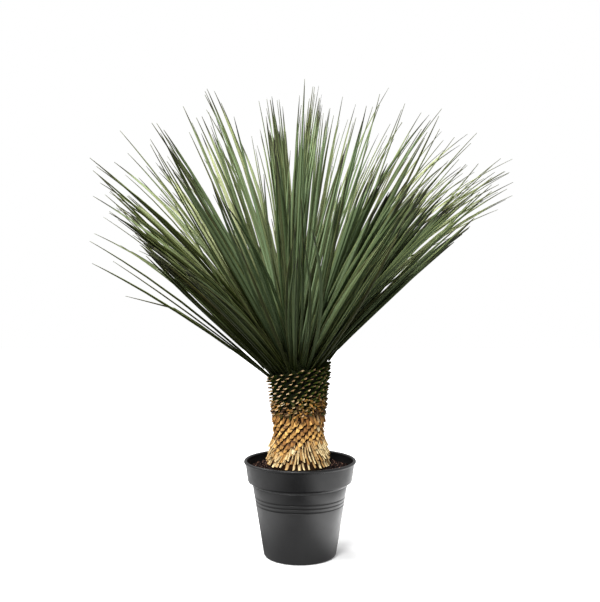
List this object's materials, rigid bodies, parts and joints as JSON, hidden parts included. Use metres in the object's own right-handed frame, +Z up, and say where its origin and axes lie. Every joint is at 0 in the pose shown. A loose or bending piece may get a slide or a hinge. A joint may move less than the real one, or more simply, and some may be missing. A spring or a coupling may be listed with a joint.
{
  "type": "potted yucca plant",
  "caption": "Potted yucca: a round fan of stiff narrow leaves on a short thick trunk, standing in soil in a tapered plastic nursery pot. A free-standing house plant.",
  "frame": {"origin": "centre of the pot's underside, on the surface that the pot stands on", "axes": "+Z up along the trunk; the side that the picture shows looks along -Y, with +X to its right"},
  "size_m": [0.8773, 0.8742, 0.9988],
  "materials": {
    "pot": "matt dark grey moulded plastic",
    "soil": "loose dark brown potting soil",
    "trunk": "rough brown scaly bark of old leaf bases",
    "skirt": "dry fibrous straw-coloured leaf bases",
    "collar": "dark green leaf bases with pale cut tips",
    "crown": "leathery satin green leaves with fine lengthwise ribs"
  },
  "bodies": {
    "root": {"pot": "pot", "soil": "soil", "trunk": "trunk", "skirt": "skirt", "collar": "collar", "crown": "crown"}
  },
  "joints": []
}
